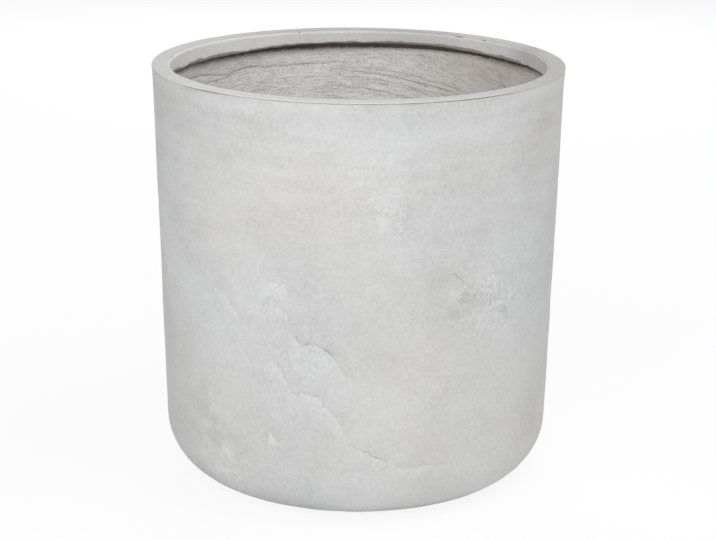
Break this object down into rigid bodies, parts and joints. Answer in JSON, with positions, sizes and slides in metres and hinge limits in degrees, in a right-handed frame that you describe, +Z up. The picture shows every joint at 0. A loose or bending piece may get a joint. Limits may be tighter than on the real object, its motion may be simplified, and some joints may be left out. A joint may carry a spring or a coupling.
{
  "type": "flower pot",
  "caption": "Round fibre-cement floor planter with a slightly tapered wall, a cast rim collar over a hand-laid lining, a rounded bottom edge and a rubber plug in its drain hole.",
  "frame": {"origin": "centre of the plane that the pot stands on", "axes": "+Z up along the pot's axis; X and Y are alike, because the pot is round"},
  "size_m": [0.5, 0.5, 0.512],
  "materials": {
    "washed_cement": "matte",
    "cast_cement": "matte",
    "brushed_cement": "matte",
    "glass_fibre": "matte",
    "rubber": "matte"
  },
  "bodies": {
    "pot": {"face_shell": "washed_cement", "glass_fibre_mat": "glass_fibre", "fibre_lining": "brushed_cement", "rim_collar": "cast_cement"},
    "plug": {"drain_plug": "rubber"}
  },
  "joints": [
    {"name": "plug_lift", "type": "slide", "parent": "pot", "child": "plug", "axis": [0, 0, 1], "range_m": [0, 0.55]}
  ]
}
